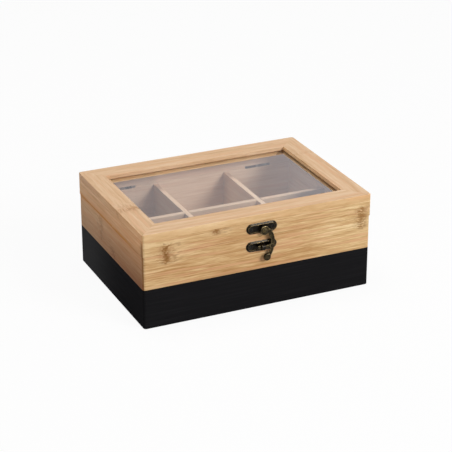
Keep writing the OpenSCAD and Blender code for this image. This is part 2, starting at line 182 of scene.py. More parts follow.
class Tree(Generic[Owner]):
    """Node tree of a material or a world, with short ways to add nodes."""

    def __init__(self, owner: Owner, output: str) -> None:
        """Empty the owner's tree and give it an output.

        Args:
            owner: The material or the world.
            output: The output node's type.
        """
        owner.use_nodes = True
        self.owner = owner
        self.nodes = owner.node_tree.nodes
        self.links = owner.node_tree.links
        self.nodes.clear()
        self.output = self.nodes.new(output)

    def node(
        self,
        kind: str,
        settings: Optional[Mapping[str, Any]] = None,
        inputs: Optional[Mapping[Union[str, int], Any]] = None,
    ) -> bpy.types.Node:
        """Add a node.

        Args:
            kind: The node's type.
            settings: Its properties, set first; "stops" fills a colour ramp.
            inputs: Values or links of its sockets, by name or number.

        Returns:
            The node.
        """
        made = self.nodes.new(kind)
        for key, setting in (settings or {}).items():
            if key == "stops":
                elements = made.color_ramp.elements
                while len(elements) < len(setting):
                    elements.new(0.5)
                for element, (place, colour) in zip(elements, setting):
                    element.position = place
                    element.color = (*colour, 1.0)
            else:
                setattr(made, key, setting)
        for key, value in (inputs or {}).items():
            socket = made.inputs[key]
            if isinstance(value, Value):
                self.links.new(value.socket, socket)
            elif isinstance(value, Socket):
                self.links.new(value, socket)
            elif isinstance(value, tuple) and socket.type == "RGBA":
                socket.default_value = (*value, 1.0)
            else:
                socket.default_value = value
        return made

    def number(self, node: bpy.types.Node, output: Union[str, int] = 0) -> Value:
        """Wrap one of a node's outputs as a value."""
        return Value(self, node.outputs[output])

    def coordinates(self, kind: str) -> tuple[Value, Value, Value]:
        """Return X, Y and Z of one kind of texture coordinate."""
        coords = self.node("ShaderNodeTexCoord")
        parts = self.node("ShaderNodeSeparateXYZ", None, {0: coords.outputs[kind]})
        return tuple(self.number(parts, i) for i in range(3))

    def place(self) -> tuple[Value, Value, Value]:
        """Return X, Y and Z on the object at rest."""
        return self.coordinates("Object")

    def against(self, axis: int) -> Value:
        """Return 1 on faces that look against an axis of the object, and 0 on the others."""
        return self.coordinates("Normal")[axis].rise(*TURNED)

    def ray(self, kind: str) -> Value:
        """Return 1 for one kind of ray, and 0 for the others."""
        return self.number(self.node("ShaderNodeLightPath"), f"Is {kind} Ray")

    def seen(self) -> Value:
        """Return 1 for rays that show the background by eye, in gloss or through glass."""
        return self.ray("Camera").at_least(self.ray("Glossy")).at_least(self.ray("Transmission"))

    def edges(self, radius: float) -> Value:
        """Return how much the surface turns within a radius: 0 on a flat, more at an edge."""
        rounded = self.node("ShaderNodeBevel", {"samples": EDGE_SAMPLES}, {"Radius": radius})
        plain = self.node("ShaderNodeNewGeometry")
        inputs = {0: rounded.outputs[0], 1: plain.outputs["Normal"]}
        dot = self.node("ShaderNodeVectorMath", {"operation": "DOT_PRODUCT"}, inputs)
        return 1.0 - self.number(dot, "Value")

    def random(self, seed: Value) -> Value:
        """Return a number from 0 to 1 that is fixed for each whole value of the seed."""
        made = self.node("ShaderNodeTexWhiteNoise", {"noise_dimensions": "1D"}, {"W": seed})
        return self.number(made, "Value")

    def ramp(self, value: Value, stops: Sequence[tuple[float, Colour]]) -> Socket:
        """Return the colour for a value, from a ramp's stops."""
        return self.node("ShaderNodeValToRGB", {"stops": stops}, {0: value}).outputs[0]

    def mix(self, amount: Number, under: Any, over: Any, how: str = "MIX") -> Socket:
        """Return a colour with an amount of a second one over it."""
        settings = {"data_type": "RGBA", "blend_type": how, "clamp_factor": True}
        return self.node("ShaderNodeMix", settings, {0: amount, 6: under, 7: over}).outputs[2]

    def relief(self, height: Value, depth: float, strength: float) -> Socket:
        """Return a normal for relief of a depth, from a height of 0 to 1."""
        inputs = {"Height": height, "Distance": depth, "Strength": strength}
        return self.node("ShaderNodeBump", None, inputs).outputs["Normal"]

    def principled(self, **inputs: Any) -> Socket:
        """Add a Principled shader, whose sockets are named with underscores for spaces."""
        named = {key.replace("_", " "): value for key, value in inputs.items()}
        return self.node("ShaderNodeBsdfPrincipled", None, named).outputs[0]

    def blend(self, amount: Number, under: Socket, over: Socket) -> Socket:
        """Return a shader with an amount of a second one over it."""
        return self.node("ShaderNodeMixShader", None, {0: amount, 1: under, 2: over}).outputs[0]

    def finish(self, shader: Socket) -> Owner:
        """Use a shader as the surface and return the material or the world."""
        self.links.new(shader, self.output.inputs["Surface"])
        return self.owner


def new_material(name: str) -> Tree[Material]:
    """Start a material with nothing but its output."""
    return Tree(bpy.data.materials.new(name), "ShaderNodeOutputMaterial")


@dataclass(frozen=True)
class Noise:
    """Cloudy noise, stretched by its scales.

    Attributes:
        scales: How fast it changes along each of the three places, per metre.
        detail: How many finer layers are added.
        rough: How strong the finer layers are.
    """

    scales: Point
    detail: float = 2.0
    rough: float = 0.5

    @classmethod
    def even(cls, scale: float, detail: float = 2.0, rough: float = 0.5) -> Noise:
        """Return noise that changes as fast every way."""
        return cls((scale, scale, scale), detail, rough)

    def at(self, tree: Tree, place: Place, slide: Optional[Number] = None) -> Value:
        """Add the noise.

        Args:
            tree: The node tree.
            place: Three places.
            slide: How far the pattern is slid along the first of them, where it is.

        Returns:
            A value around 0.5.
        """
        scaled = [part * scale for part, scale in zip(place, self.scales)]
        if slide is not None:
            scaled[0] = scaled[0] + slide
        where = tree.node("ShaderNodeCombineXYZ", None, dict(enumerate(scaled))).outputs[0]
        made = tree.node(
            "ShaderNodeTexNoise",
            {"noise_dimensions": "3D"},
            {"Vector": where, "Scale": 1.0, "Detail": self.detail, "Roughness": self.rough},
        )
        return tree.number(made, "Fac")


# ---------------- finishes


class Run(Enum):
    """Which way a board's grain runs: its length, width and thickness as places in X, Y, Z."""

    FRONT = (0, 2, 1)
    SIDE = (1, 2, 0)
    TOP_ACROSS = (0, 1, 2)
    TOP_BACK = (1, 0, 2)


@dataclass(frozen=True)
class CaneNode:
    """A ring of the cane: a brown, broken mark across one strip of the board.

    Attributes:
        along: Its place along the grain.
        low: Where it starts across the grain.
        high: Where it ends across the grain.
        depth: How dark it is, from 0 to 1.
        width: How far it reaches along the grain.
    """

    along: float
    low: float
    high: float
    depth: float
    width: float

    def inside(self, across: Value) -> Value:
        """Return 1 between the ring's ends and 0 beyond them."""
        starts = across.rise(self.low - RING_BLUR, self.low + RING_BLUR)
        return starts * across.rise(self.high + RING_BLUR, self.high - RING_BLUR)

    def beside(self, along: Value, band: Span) -> Value:
        """Return a soft band that lies and reaches as many ring widths off as it says."""
        away, reach = band
        return along.bump(self.along + self.width * away, self.width * reach)


# The noises of a board, along its grain, across it and through it
WANDER = Noise((9.0, 24.0, 24.0), 1.0)
BROAD = Noise((7.0, 140.0, 60.0), 1.0)
STREAK = Noise((21.0, 460.0, 120.0), 3.0, 0.64)
FIBRE = Noise((55.0, 1100.0, 400.0), 2.0, 0.6)
FLECK = Noise((160.0, 2300.0, 900.0), 2.0, 0.6)
BLUSH = Noise((13.0, 260.0, 80.0), 2.0, 0.6)
SWIRL = Noise((150.0, 190.0, 60.0), 2.0, 0.6)
RAGGED = Noise((30.0, 420.0, 90.0), 2.0, 0.7)
DASHES = Noise((240.0, 980.0, 500.0), 2.0, 0.6)
WISPS = Noise((130.0, 640.0, 500.0), 2.0, 0.6)

# How far the fibres leave the straight, and how far they are bent round a ring
WANDER_DEPTH = 0.0022
SWIRL_DEPTH = 0.0100

# How much the broad bands, the streaks, the fibres and the flecks count, and the strips' own tone
SHARES = (0.75, 1.15, 0.90, 0.30)
STRIP_SHARE = 0.12

# How far the noises are slid from strip to strip and from board to board, and the blush beyond that
STRIP_SLIDE = 7.0
BOARD_SLIDE = 3.0
BLUSH_SLIDE = 1.7

# Where the palest, the common and the darkest colour lie on the ramp
STOPS = (0.20, 0.50, 0.82)

# Where each kind of mark begins and is full, and how strong it is
BLUSH_FADE: Fade = (0.50, 0.64, 0.70)
FLECK_FADE: Fade = (0.60, 0.78, 0.35)
JOINT_FADE: Fade = (0.490, 0.499, 0.18)
HALO_SHARE = 0.55

# How soft a ring's ends are and how far they stray
RING_BLUR = 0.0022
RING_STRAY = 0.010

# How uneven a ring is along the grain, by its two noises, in ring widths
SWIRL_UNEVEN = 0.8
RAGGED_UNEVEN = 0.9

# How many ring widths off a ring its bending and its marks lie, and how far they reach
BENT: Span = (1.0, 2.8)
LINE: Span = (0.0, 0.36)
PATCH: Span = (0.55, 1.2)
FEATHER: Span = (2.0, 2.2)
HALO: Span = (2.6, 1.5)

# The noise at which a mark's dashes begin and are full, and how dark they are
LINE_FADE: Fade = (0.38, 0.54, 0.90)
FEATHER_FADE: Fade = (0.47, 0.60, 0.55)

# The noise at which the patch's dashes begin, how much sooner on a dark ring, and their step
PATCH_START, PATCH_SOONER, PATCH_STEP = 0.50, 0.18, 0.18

# The least roughness of the wood, how much the fibres add, and how much it mirrors
WOOD_ROUGH: Span = (0.42, 0.20)
WOOD_GLOSS = 0.07

# How much the fibres, the streaks, the flecks and the rings shape it, and how deep and how strongly
RELIEF_SHARES = (0.5, 0.3, -0.4, -0.6)
WOOD_RELIEF: Span = (0.00006, 0.35)


@dataclass(frozen=True)
class GlueLines:
    """Glue that shows on the left side: orange under the lid, brown at the front corner.

    Attributes:
        orange: The colour of the glue under the lid.
        seam: Height of that joint, and how far off the line fades.
        seam_noise: The noise that breaks the line.
        seam_fade: The noise between which it is broken and whole, and how strong it is.
        seam_end: Y at which it has faded and at which it is full.
        brown: The colour of the glue at the corner.
        corner: Y of the joint with the front board, and how far off the line fades.
        foot: Heights at which it begins and is full.
        head: Heights from above at which it begins and is full, and how strong it is.
    """

    orange: Colour = (0.600, 0.225, 0.030)
    seam: Span = (0.0656, 0.00195)
    seam_noise: Noise = Noise((0.0, 60.0, 200.0))
    seam_fade: Fade = (0.20, 0.36, 0.95)
    seam_end: Span = (-0.066, -0.030)
    brown: Colour = (0.300, 0.150, 0.055)
    corner: Span = (-0.0731, 0.0019)
    foot: Span = (0.037, 0.047)
    head: Fade = (0.081, 0.074, 0.85)

    def over(self, tree: Tree, place: Place, side: Value, colour: Socket) -> Socket:
        """Return the colour with the glue lines.

        Args:
            tree: The material.
            place: X, Y and Z.
            side: 1 on the side that has them.
            colour: The colour of the board.

        Returns:
            The new colour.
        """
        _, y, z = place
        whole = self.seam_noise.at(tree, place).fade(*self.seam_fade)
        seam = z.bump(*self.seam) * whole * y.rise(*self.seam_end)
        colour = tree.mix(seam * side, colour, self.orange)
        corner = y.bump(*self.corner) * z.rise(*self.foot) * z.fade(*self.head)
        return tree.mix(corner * side, colour, self.brown)


@dataclass(frozen=True)
class PaintedLight:
    """Painted light and shade on one side of a board: its colour multiplied along the side and down
    it.

    Attributes:
        axis: The axis that the side faces against.
        warm: A factor that comes in along the side; above 1 it paints light, below 1 it paints
            shade.
        back: Y on an end, or X on a front, at which there is none of it.
        front: Y on an end, or X on a front, at which it is full.
        tint: A darker factor that comes in down the side: painted shade.
        top: Height above which there is none of it.
        bottom: Height at which it is full.
        least: How much of it there is at the back.
        glue: The glue lines, where the side has them.
    """

    axis: int = 0
    warm: Colour = WHITE
    back: float = 0.075
    front: float = -0.070
    tint: Colour = WHITE
    top: float = 0.083
    bottom: float = 0.034
    least: float = 0.62
    glue: Optional[GlueLines] = None

    def over(self, tree: Tree, place: Place, colour: Socket) -> Socket:
        """Return the colour with the painted light and shade and the glue lines.

        Args:
            tree: The material.
            place: X, Y and Z.
            colour: The colour of the board.

        Returns:
            The new colour.
        """
        x, y, z = place
        side = tree.against(self.axis)
        forward = (x if self.axis else y).rise(self.back, self.front)
        colour = tree.mix(forward * side, colour, self.warm, "MULTIPLY")
        down = z.rise(self.top, self.bottom) * forward.onto(self.least, 1.0 - self.least)
        colour = tree.mix(down * side, colour, self.tint, "MULTIPLY")
        return self.glue.over(tree, place, side, colour) if self.glue else colour


@dataclass(frozen=True)
class Bamboo:
    """Pressed bamboo board: strips side by side, long fibres, and marks where the rings were.

    Attributes:
        pale: The lightest fibres.
        body: The common colour.
        deep: The darkest fibres.
        blush: The orange streaks.
        ring: The brown of a ring.
        strip: The width of a strip.
        contrast: How far the fibres stand out in colour.
    """

    pale: Colour
    body: Colour
    deep: Colour
    blush: Colour
    ring: Colour = (0.235, 0.104, 0.030)
    strip: float = 0.0185
    contrast: float = 0.6

    def material(
        self,
        name: str,
        run: Run,
        seed: float,
        shift: float = 0.0,
        rings: Sequence[CaneNode] = (),
        paint: Optional[BandPaint] = None,
        painted_light: Optional[PaintedLight] = None,
    ) -> Material:
        """Make the material for one board.

        Args:
            name: The material's name.
            run: Which way the grain runs.
            seed: A number that makes the board differ from the others.
            shift: Where a joint between two strips lies across the grain.
            rings: The cane's rings that show.
            paint: The paint on the lower band, where the board has it.
            painted_light: Painted light and shade on one side, where the board has them.

        Returns:
            The material.
        """
        tree = new_material(name)
        place = tree.place()
        grain = tuple(place[axis] for axis in run.value)
        along, across, through = grain

        bent = across + (WANDER.at(tree, grain, seed) - 0.5) * WANDER_DEPTH
        mark, halo, bent = self.cane_nodes(tree, seed, grain, bent, rings)
        strand = (along, bent, through)

        count = (across - shift) * (1.0 / self.strip)
        tone = tree.random(count.floor() + seed * BOARD_SLIDE)
        slide = tone * STRIP_SLIDE + seed
        layers = [noise.at(tree, strand, slide) for noise in (BROAD, STREAK, FIBRE, FLECK)]
        _, streak, fibre, fleck = layers
        blush = BLUSH.at(tree, strand, slide * BLUSH_SLIDE)

        spread = (tone - 0.5) * STRIP_SHARE - sum(SHARES) * 0.5
        for layer, share in zip(layers, SHARES):
            spread = spread + layer * share
        stops = tuple(zip(STOPS, (self.pale, self.body, self.deep)))
        colour = tree.ramp(spread * self.contrast + 0.5, stops)
        colour = tree.mix(blush.fade(*BLUSH_FADE), colour, self.blush)
        colour = tree.mix(fleck.fade(*FLECK_FADE), colour, self.deep)
        colour = tree.mix(halo * HALO_SHARE, colour, self.pale)
        colour = tree.mix(mark, colour, self.ring)
        colour = tree.mix(abs(count.fraction() - 0.5).fade(*JOINT_FADE), colour, self.deep)
        # Painted light and shade on one side of the board, where it has them
        if painted_light is not None:
            colour = painted_light.over(tree, place, colour)

        parts = zip((fibre, streak, fleck, mark), RELIEF_SHARES)
        height = sum(layer * share for layer, share in parts)
        bare = tree.principled(
            Base_Color=colour,
            Roughness=fibre.onto(*WOOD_ROUGH),
            Specular_IOR_Level=WOOD_GLOSS,
            Normal=tree.relief(height, *WOOD_RELIEF),
        )
        if paint is None:
            return tree.finish(bare)
        return tree.finish(tree.blend(paint.cover(place), bare, paint.coat(tree, place, grain)))

    @staticmethod
    def cane_nodes(
        tree: Tree, seed: float, grain: Place, bent: Value, rings: Sequence[CaneNode]
    ) -> tuple[Number, Number, Value]:
        """Work out where the rings darken the board, and how the fibres swirl round them.

        Args:
            tree: The material.
            seed: The board's number.
            grain: The places along the grain, across it and through the board.
            bent: The place across the grain, with the fibres' wander.
            rings: The cane's rings.

        Returns:
            The dark marks, the pale halo beside them, and the place across the grain again.
        """
        if not rings:
            return 0.0, 0.0, bent
        along, across, _ = grain
        swirl, ragged = (noise.at(tree, grain, seed) - 0.5 for noise in (SWIRL, RAGGED))
        dashes, wisps = (noise.at(tree, grain, seed) for noise in (DASHES, WISPS))
        ends = across + swirl * RING_STRAY
        uneven = ragged * RAGGED_UNEVEN + swirl * SWIRL_UNEVEN
        mark: Number = 0.0
        halo: Number = 0.0
        for ring in rings:
            inside = ring.inside(ends)
            bent = bent + swirl * ring.beside(along, BENT) * inside * SWIRL_DEPTH
            spot = along - uneven * ring.width
            start = PATCH_START - ring.depth * PATCH_SOONER
            line = ring.beside(spot, LINE) * dashes.fade(*LINE_FADE)
            patch = ring.beside(spot, PATCH) * dashes.rise(start, start + PATCH_STEP)
            feather = ring.beside(spot, FEATHER) * wisps.fade(*FEATHER_FADE)
            shown = inside * ring.depth
            mark = (line.at_least(patch).at_least(feather) * shown).at_least(mark)
            halo = (ring.beside(spot, HALO) * shown).at_least(halo)
        return mark, halo, bent


# The noises of the paint: the fibres that show through it, and its dust
TRACE = Noise((18.0, 800.0, 200.0))
DUST = Noise.even(1400.0)

# The noise between which the fibres begin and are full, how strong they are, and how much lighter
TRACE_FADE: Fade = (0.40, 0.75, 0.6)
TRACE_LIGHTER = 1.6

# How soft the masked line is, and how far outside the bare face the paint begins and is full
MASK_BLUR = 0.00012
BARE_EDGE: Span = (0.0004, 0.0005)

# The paint's least roughness and how much the dust adds, Y where it begins to be duller and is
# dullest, and how deep its relief is and how strongly it shows
PAINT_ROUGH: Span = (0.42, 0.10)
DULL_STEP: Span = (0.060, -0.050)
PAINT_RELIEF: Span = (0.00004, 0.30)


@dataclass(frozen=True)
class BandPaint:
    """Matte black paint on the outside of a wall, up to a straight masked line.

    Attributes:
        axis: The axis that the wall faces along.
        inner: Where the bare inner face lies on that axis.
        dull: How much rougher it is at the front.
        top: Height of the line.
        tint: The paint's colour.
        sheen: How much it mirrors.
    """

    axis: int
    inner: float
    dull: float = 0.0
    top: float = 0.0355
    tint: Colour = (0.0088, 0.0086, 0.0096)
    sheen: float = 0.012

    def cover(self, place: Place) -> Value:
        """Return 1 where the paint is and 0 on bare wood."""
        start, full = (self.inner + math.copysign(step, self.inner) for step in BARE_EDGE)
        below = place[2].rise(self.top + MASK_BLUR, self.top - MASK_BLUR)
        return below * place[self.axis].rise(start, full)

    def coat(self, tree: Tree, place: Place, grain: Place) -> Socket:
        """Make the paint, which shows a trace of the fibres under it.

        Args:
            tree: The material.
            place: X, Y and Z.
            grain: The places along the grain, across it and through the board.

        Returns:
            The paint's shader.
        """
        trace = TRACE.at(tree, grain)
        dust = DUST.at(tree, place)
        lighter = tuple(part * TRACE_LIGHTER for part in self.tint)
        return tree.principled(
            Base_Color=tree.mix(trace.fade(*TRACE_FADE), self.tint, lighter),
            Roughness=dust.onto(*PAINT_ROUGH) + place[1].fade(*DULL_STEP, self.dull),
            Specular_IOR_Level=self.sheen,
            Normal=tree.relief((trace + dust) * 0.5, *PAINT_RELIEF),
        )


# The noises of old bronze: its patina, its casting, and the painted glints on its front faces
PATINA = Noise.even(420.0, 3.0, 0.6)
CASTING = Noise.even(2600.0)
GLINT_PATCHES = Noise((130.0, 20.0, 60.0), 1.0)

# The patina's noise where it is thick and thin, and where the bright edges, worn metal and painted
# highlights, begin and are full
THIN_STEP: Span = (0.36, 0.66)
BRIGHT_EDGE_STEP: Span = (0.28, 0.50)

# How far the surface turns where the bright edges, worn metal and painted highlights, begin and are
# full, and how strong they are
RIM_FADE: Fade = (0.010, 0.14, 0.85)

# The noise between which the painted glints begin and are full
GLINT_EDGE: Span = (0.46, 0.56)

# How far above the height for it the bright edges begin and are full, and how much there is lower
# down
PROUD_STEP: Span = (-0.0002, 0.0003)
LOW_BRIGHT_EDGE = 0.25

# The least roughness of bronze, and how much the patina adds; the roughness of the lacquer
BRONZE_ROUGH: Span = (0.24, 0.20)
LACQUER_ROUGH = 0.14

# How much the patina and the casting shape it, and how deep and how strongly
BRONZE_SHARES: Span = (0.6, 0.4)
BRONZE_RELIEF: Span = (0.00003, 0.4)


@dataclass(frozen=True)
class AntiqueBronze:
    """Brass darkened to brown-black in its hollows, with bright high edges that are partly wear and
    partly painted highlights.

    Attributes:
        dark: The patina.
        brown: The patina where it is thinner.
        bright: The colour of the bright edges: worn metal and painted highlights.
        front: Y of the face that the piece lies on; None for a piece with no such face.
        proud: Height above that face at which the rubbing starts.
        rim: Width of the bright edges.
        painted_glints: How strong the painted glints are: bright patches on the front faces.
        lacquer: How strong the clear lacquer's gloss is.
    """

    dark: Colour = (0.0036, 0.0028, 0.0021)
    brown: Colour = (0.0135, 0.0100, 0.0058)
    bright: Colour = (0.680, 0.480, 0.210)
    front: Optional[float] = None
    proud: float = 0.00115
    rim: float = 0.00045
    painted_glints: float = 0.0
    lacquer: float = 0.12

    def material(self, name: str) -> Material:
        """Make the material.

        Args:
            name: The material's name.

        Returns:
            The material.
        """
        tree = new_material(name)
        place = tree.place()
        cloud = PATINA.at(tree, place)
        grain = CASTING.at(tree, place)
        # Bright edges: worn metal and painted highlights
        wear = tree.edges(self.rim).fade(*RIM_FADE) * cloud.rise(*BRIGHT_EDGE_STEP)
        if self.front is not None:
            start, full = (self.proud + step for step in PROUD_STEP)
            high = (self.front - place[1]).rise(start, full)
            wear = wear * high.onto(LOW_BRIGHT_EDGE, 1.0 - LOW_BRIGHT_EDGE)
        # Painted glints: patches of bright colour on the front faces
        if self.painted_glints:
            patch = GLINT_PATCHES.at(tree, place).fade(*GLINT_EDGE, self.painted_glints)
            wear = wear.at_least(patch * tree.against(1))
        colour = tree.mix(cloud.rise(*THIN_STEP), self.dark, self.brown)
        by_cloud, by_grain = BRONZE_SHARES
        return tree.finish(
            tree.principled(
                Base_Color=tree.mix(wear, colour, self.bright),
                Metallic=1.0,
                Roughness=cloud.onto(*BRONZE_ROUGH),
                Coat_Weight=self.lacquer,
                Coat_Roughness=LACQUER_ROUGH,
                Normal=tree.relief(cloud * by_cloud + grain * by_grain, *BRONZE_RELIEF),
            )
        )


@dataclass(frozen=True)
class ScrewSteel:
    """Bronzed steel of screws and pins, turned round its axis.

    Attributes:
        tint: The metal's colour.
        worn: The colour where the driver has worn it.
        cloud: The noise of the wear.
        worn_fade: The noise between which the wear begins and is full, and how strong it is.
        scratch: The noise of the turning marks.
        rough: The least roughness, and how much the wear adds.
        relief: How deep the turning marks are, and how strongly they show.
    """

    tint: Colour = (0.115, 0.092, 0.062)
    worn: Colour = (0.330, 0.290, 0.230)
    cloud: Noise = Noise.even(900.0, 3.0, 0.6)
    worn_fade: Fade = (0.42, 0.70, 0.6)
    scratch: Noise = Noise((5200.0, 700.0, 5200.0))
    rough: Span = (0.24, 0.25)
    relief: Span = (0.00003, 0.4)

    def material(self, name: str) -> Material:
        """Make the material.

        Args:
            name: The material's name.

        Returns:
            The material.
        """
        tree = new_material(name)
        place = tree.place()
        cloud = self.cloud.at(tree, place)
        scratch = self.scratch.at(tree, place)
        return tree.finish(
            tree.principled(
                Base_Color=tree.mix(cloud.fade(*self.worn_fade), self.tint, self.worn),
                Metallic=1.0,
                Roughness=cloud.onto(*self.rough),
                Normal=tree.relief(scratch, *self.relief),
            )
        )


@dataclass(frozen=True)
class WindowGlass:
    """Clear float glass.

    Attributes:
        tint: The light that each face lets through.
        mirror: The light that it mirrors.
        ior: How strongly it bends light.
        both_faces: How much the pane mirrors for each part that its first face does.
        smear: The noise of the smears.
        rough: The least roughness, and how much the smears add.
    """

    tint: Colour = (0.985, 0.975, 0.980)
    mirror: Colour = (0.92, 0.93, 1.0)
    ior: float = 1.50
    both_faces: float = 1.25
    smear: Noise = Noise.even(30.0, 3.0, 0.6)
    rough: Span = (0.02, 0.05)

    def material(self, name: str) -> Material:
        """Make the material.

        Args:
            name: The material's name.

        Returns:
            The material.
        """
        tree = new_material(name)
        smear = self.smear.at(tree, tree.place())
        clear = tree.node("ShaderNodeBsdfTransparent", None, {"Color": self.tint}).outputs[0]
        rough = smear.onto(*self.rough)
        gloss = tree.principled(Base_Color=self.mirror, Metallic=1.0, Roughness=rough)
        fresnel = tree.number(tree.node("ShaderNodeFresnel", None, {"IOR": self.ior}))
        first = 1.0 - tree.number(tree.node("ShaderNodeNewGeometry"), "Backfacing")
        mirrored = (fresnel * self.both_faces * first).at_most(1.0)
        return tree.finish(tree.blend(mirrored, clear, gloss))


# ---------------- sub-assemblies


def add(name: str, data: bpy.types.ID) -> bpy.types.Object:
    """Add an object with some data to the scene.

    Args:
        name: The object's name.
        data: Its mesh, light or camera.

    Returns:
        The object.
    """
    made = bpy.data.objects.new(name, data)
    bpy.context.scene.collection.objects.link(made)
    return made


def corners(x: Span, y: Span, z: float = 0.0) -> list[Vector]:
    """Return the four corners of a level rectangle, in turn from the front left."""
    return [Vector((x[i], y[j], z)) for i, j in ((0, 0), (1, 0), (1, 1), (0, 1))]


def dress(material: Material, *names: str) -> None:
    """Give nodes a material and shade them smooth, with their real edges kept sharp.

    Args:
        material: The material.
        names: The nodes.
    """
    for name in names:
        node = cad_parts[name]
        mesh = node.data
        if not node.material_slots:
            mesh.materials.append(material)
        for slot in node.material_slots:
            slot.material = material
        mesh.polygons.foreach_set("use_smooth", [True] * len(mesh.polygons))
        mesh.set_sharp_from_angle(angle=math.radians(SHARP_ANGLE))
        log.info("%s: %s", name, material.name)


@dataclass
class Walls:
    """The four sides of the box, body and lid rim together: each pair is cut from one board.

    Attributes:
        wood: The bamboo of the front.
        side_wood: The pinker bamboo of the left side, made paler than the front as painted light on
            that side.
        inside_wood: The paler bamboo of the back and the right side.
        left_painted_shade: Painted shade on the outside of the left side, darker and browner down
            it and darkest at the front corner; the glue lines on it are real.
        inner: Half the width inside.
        inner_front: Y of the front wall's inner face.
        inner_back: Y of the back wall's inner face.
    """

    wood: Bamboo = Bamboo(
        pale=(0.722, 0.520, 0.288),
        body=(0.555, 0.347, 0.161),
        deep=(0.418, 0.222, 0.088),
        blush=(0.583, 0.315, 0.164),
        contrast=1.1,
    )
    # Paler than the front: partly painted light on the left side
    side_wood: Bamboo = Bamboo(
        pale=(0.930, 0.650, 0.420),
        body=(0.830, 0.530, 0.310),
        deep=(0.640, 0.350, 0.160),
        blush=(0.820, 0.460, 0.245),
        contrast=0.75,
    )
    inside_wood: Bamboo = Bamboo(
        pale=(0.810, 0.655, 0.480),
        body=(0.730, 0.563, 0.403),
        deep=(0.610, 0.425, 0.270),
        blush=(0.710, 0.500, 0.340),
        ring=(0.330, 0.170, 0.070),
    )
    # Painted shade: the left side is darker down it and browner towards the front corner; the glue
    # lines are the board's own
    left_painted_shade: PaintedLight = PaintedLight(
        warm=(0.94, 0.81, 0.66), tint=(0.31, 0.21, 0.118), glue=GlueLines()
    )
    inner: float = 0.0985
    inner_front: float = -0.0685
    inner_back: float = 0.069

    def build(self) -> None:
        """Dress the walls and the rim."""
        front = self.wood.material(
            "bamboo front",
            Run.FRONT,
            seed=4.3,
            shift=0.0545,
            rings=(
                CaneNode(-0.0868, 0.0555, 0.0745, 0.95, 0.0046),
                CaneNode(0.0932, 0.0550, 0.0745, 0.86, 0.0056),
                CaneNode(-0.0415, 0.0745, 0.0785, 1.0, 0.0048),
                CaneNode(0.0800, 0.0790, 0.0850, 0.30, 0.0036),
            ),
            paint=BandPaint(1, self.inner_front),
            # Painted light: the front is lighter and paler towards its right end
            painted_light=PaintedLight(axis=1, warm=(1.11, 1.18, 1.24), back=0.010, front=0.085),
        )
        back = self.inside_wood.material(
            "bamboo back",
            Run.FRONT,
            seed=17.9,
            shift=0.0470,
            rings=(CaneNode(-0.0830, 0.0470, 0.0655, 0.90, 0.0045),),
            paint=BandPaint(1, self.inner_back),
            # Painted shade: the back wall's inner face is darker towards its left end
            painted_light=PaintedLight(axis=1, warm=(0.84, 0.82, 0.82), back=-0.030, front=-0.040),
        )
        left = self.side_wood.material(
            "bamboo left",
            Run.SIDE,
            seed=29.1,
            shift=0.0590,
            rings=(
                CaneNode(0.0200, 0.0405, 0.0640, 0.45, 0.0040),
                CaneNode(-0.0080, 0.0360, 0.0450, 0.50, 0.0050),
            ),
            paint=BandPaint(0, -self.inner, dull=0.45),
            painted_light=self.left_painted_shade,
        )
        right = self.inside_wood.material(
            "bamboo right",
            Run.SIDE,
            seed=41.7,
            shift=0.0560,
            rings=(CaneNode(-0.0330, 0.0560, 0.0745, 0.80, 0.0030),),
            paint=BandPaint(0, self.inner),
        )
        dress(front, "front_wall", "lid_rim_front")
        dress(back, "back_wall", "lid_rim_back")
        dress(left, "left_wall", "lid_rim_left")
        dress(right, "right_wall", "lid_rim_right")


@dataclass
class Boards:
    """The bottom panel and the dividers inside the box.

    Attributes:
        wood: The bamboo of the bottom and of the two short dividers.
        cross_wood: The darker bamboo of the long divider.
        joint: Height of a joint between two strips of the dividers.
    """

    wood: Bamboo = Bamboo(
        pale=(0.830, 0.668, 0.475),
        body=(0.755, 0.580, 0.398),
        deep=(0.630, 0.436, 0.265),
        blush=(0.745, 0.522, 0.345),
    )
    cross_wood: Bamboo = Bamboo(
        pale=(0.705, 0.565, 0.400),
        body=(0.648, 0.496, 0.342),
        deep=(0.549, 0.380, 0.233),
        blush=(0.640, 0.448, 0.296),
    )
    joint: float = 0.0457

    def build(self) -> None:
        """Dress the boards."""
        bottom = self.wood.material("bamboo bottom", Run.TOP_ACROSS, seed=53.3)
        cross = self.cross_wood.material(
            "bamboo cross",
            Run.FRONT,
            seed=61.2,
            shift=self.joint,
            # Painted shadow: the long divider's front face darkens towards its right end, under the
            # lid's right side
            painted_light=PaintedLight(axis=1, warm=(0.68, 0.66, 0.66), back=0.045, front=0.085),
        )
        left = self.wood.material(
            "bamboo left board",
            Run.SIDE,
            seed=73.8,
            shift=self.joint,
            # Painted shade: this divider's left faces are darker
            painted_light=PaintedLight(warm=(0.76, 0.80, 0.84), back=0.20, front=0.19),
        )
        right = self.wood.material("bamboo right board", Run.SIDE, seed=87.4, shift=self.joint)
        dress(bottom, "bottom_panel")
        dress(cross, "cross_divider")
        dress(left, "left_divider")
        dress(right, "right_divider")


